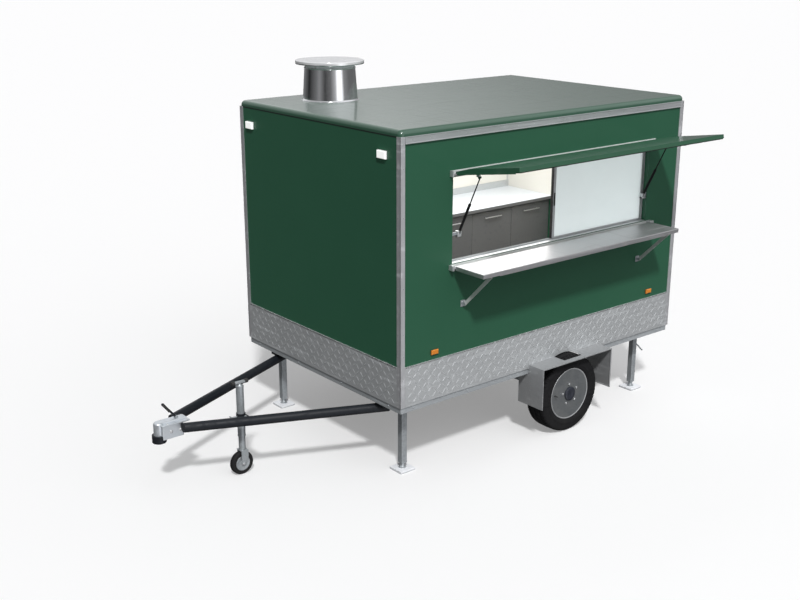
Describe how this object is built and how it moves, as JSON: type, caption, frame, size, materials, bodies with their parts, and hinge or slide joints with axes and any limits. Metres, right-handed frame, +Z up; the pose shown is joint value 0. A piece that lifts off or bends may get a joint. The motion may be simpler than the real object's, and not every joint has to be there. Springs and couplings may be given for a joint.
{
  "type": "catering trailer",
  "caption": "Single-axle catering trailer with a serving hatch, fold-down shelf, sliding window, flue, rear door, drawbar with ball coupling, jockey wheel and fold-up legs.",
  "frame": {"origin": "centre of the bounding box on the ground, with the hatch open", "axes": "+X forward to the coupling, +Y left to the serving side, +Z up"},
  "size_m": [4.431, 2.8168, 2.875],
  "materials": {
    "black_steel": "satin black paint",
    "grey_rail": "matt grey aluminium",
    "floor_board": "sealed board",
    "coupling_metal": "light grey casting",
    "zinc": "galvanised",
    "mudguard_sheet": "plain sheet",
    "green_wall": "glossy deep green",
    "green_roof": "glossy deep green",
    "green_flap": "glossy deep green",
    "aluminium_trim": "satin",
    "aluminium_rail": "satin",
    "tread_plate": "tread plate",
    "polished_steel": "polished",
    "window_alloy": "satin",
    "window_glass": "clear",
    "cabinet_grey": "satin grey",
    "worktop_white": "white laminate",
    "kitchen_steel": "brushed",
    "lamp_clear": "clear lens",
    "lamp_amber": "amber lens",
    "lamp_red": "red lens",
    "plate_white": "blank plate",
    "small_tyre": "solid rubber",
    "strut_black": "black paint",
    "shelf_steel": "bright stainless",
    "tyre": "road tyre",
    "wheel_grey": "grey enamel"
  },
  "bodies": {
    "trailer": {"chassis_frame": "black_steel", "sill_rail": "grey_rail", "floor": "floor_board", "drawbar": "black_steel", "coupling": "coupling_metal", "coupling_cup": "black_steel", "coupling_lever": "black_steel", "axle": "zinc", "mudguards": "mudguard_sheet", "front_wall": "green_wall", "rear_wall": "green_wall", "left_wall": "green_wall", "right_wall": "green_wall", "roof": "green_roof", "corner_trims": "aluminium_trim", "roof_rails": "aluminium_rail", "skirt_plates": "tread_plate", "flue": "polished_steel", "flue_cap": "polished_steel", "window_frame": "window_alloy", "window_panes": "window_glass", "pane_frames": "window_alloy", "counter_cabinet": "cabinet_grey", "counter_top": "worktop_white", "cooking_range": "kitchen_steel", "extractor_hood": "kitchen_steel", "front_lamps": "lamp_clear", "side_lamps": "lamp_amber", "rear_lamps": "lamp_red", "number_plate": "plate_white", "hinge_rails": "aluminium_rail", "hatch_brackets": "zinc", "leg_brackets": "zinc", "jockey_tube": "zinc", "door_hinges": "zinc"},
    "left_wheel": {"left_tyre": "tyre", "left_rim": "wheel_grey"},
    "right_wheel": {"right_tyre": "tyre", "right_rim": "wheel_grey"},
    "hatch": {"hatch_flap": "green_flap"},
    "strut_tubes": {"strut_cylinders": "strut_black"},
    "strut_plungers": {"strut_rods": "strut_black"},
    "shelf": {"serving_shelf": "shelf_steel"},
    "stays": {"shelf_stays": "zinc"},
    "door": {"rear_door": "green_wall", "door_kick_plate": "tread_plate"},
    "front_left_stand": {"front_left_leg": "zinc"},
    "front_right_stand": {"front_right_leg": "zinc"},
    "rear_left_stand": {"rear_left_leg": "zinc"},
    "rear_right_stand": {"rear_right_leg": "zinc"},
    "jockey_inner": {"jockey_leg": "zinc"},
    "jockey_swivel": {"jockey_fork": "zinc"},
    "jockey_roller": {"jockey_wheel": "small_tyre"}
  },
  "joints": [
    {"name": "left_wheel_spin", "type": "hinge", "parent": "trailer", "child": "left_wheel", "pos_m": [-0.8735, 0.75865, 0.3175], "axis": [0, 1, 0], "continuous": true},
    {"name": "right_wheel_spin", "type": "hinge", "parent": "trailer", "child": "right_wheel", "pos_m": [-0.8735, -1.25135, 0.3175], "axis": [0, 1, 0], "continuous": true},
    {"name": "hatch_hinge", "type": "hinge", "parent": "trailer", "child": "hatch", "pos_m": [-0.6935, 0.77165, 2.228], "axis": [1, 0, 0], "range_deg": [-99.2, 0]},
    {"name": "strut_lean", "type": "hinge", "parent": "trailer", "child": "strut_tubes", "pos_m": [-0.6935, 0.73365, 1.79], "axis": [1, 0, 0], "range_deg": [0, 26.36]},
    {"name": "strut_stroke", "type": "slide", "parent": "strut_tubes", "child": "strut_plungers", "axis": [0, 0.4362, 0.8998], "range_m": [-0.2034, 0]},
    {"name": "shelf_hinge", "type": "hinge", "parent": "trailer", "child": "shelf", "pos_m": [-0.6935, 0.78565, 1.556], "axis": [1, 0, 0], "range_deg": [-85, 0]},
    {"name": "stay_fold", "type": "hinge", "parent": "trailer", "child": "stays", "pos_m": [-0.6935, 0.77765, 1.268], "axis": [1, 0, 0], "range_deg": [-135.17, 0]},
    {"name": "door_hinge", "type": "hinge", "parent": "trailer", "child": "door", "pos_m": [-2.1885, 0.27365, 1.5], "axis": [0, 0, 1], "range_deg": [-110, 0]},
    {"name": "front_left_stand_fold", "type": "hinge", "parent": "trailer", "child": "front_left_stand", "pos_m": [0.6075, 0.55215, 0.515], "axis": [0, 1, 0], "range_deg": [0, 90]},
    {"name": "front_right_stand_fold", "type": "hinge", "parent": "trailer", "child": "front_right_stand", "pos_m": [0.6075, -1.04485, 0.515], "axis": [0, 1, 0], "range_deg": [0, 90]},
    {"name": "rear_left_stand_fold", "type": "hinge", "parent": "trailer", "child": "rear_left_stand", "pos_m": [-1.9895, 0.55215, 0.515], "axis": [0, -1, 0], "range_deg": [0, 90]},
    {"name": "rear_right_stand_fold", "type": "hinge", "parent": "trailer", "child": "rear_right_stand", "pos_m": [-1.9895, -1.04485, 0.515], "axis": [0, -1, 0], "range_deg": [0, 90]},
    {"name": "jockey_lift", "type": "slide", "parent": "trailer", "child": "jockey_inner", "axis": [0, 0, 1], "range_m": [0, 0.1]},
    {"name": "jockey_turn", "type": "hinge", "parent": "jockey_inner", "child": "jockey_swivel", "pos_m": [1.5615, -0.13935, 0.19], "axis": [0, 0, 1], "continuous": true},
    {"name": "jockey_roll", "type": "hinge", "parent": "jockey_swivel", "child": "jockey_roller", "pos_m": [1.5735, -0.13935, 0.09], "axis": [0, 1, 0], "continuous": true}
  ],
  "couplings": [
    {"joint": "strut_lean", "follows": "hatch_hinge", "ratio": -0.26073},
    {"joint": "strut_stroke", "follows": "hatch_hinge", "m_per_rad": 0.11632},
    {"joint": "stay_fold", "follows": "shelf_hinge", "ratio": 1.5843}
  ]
}
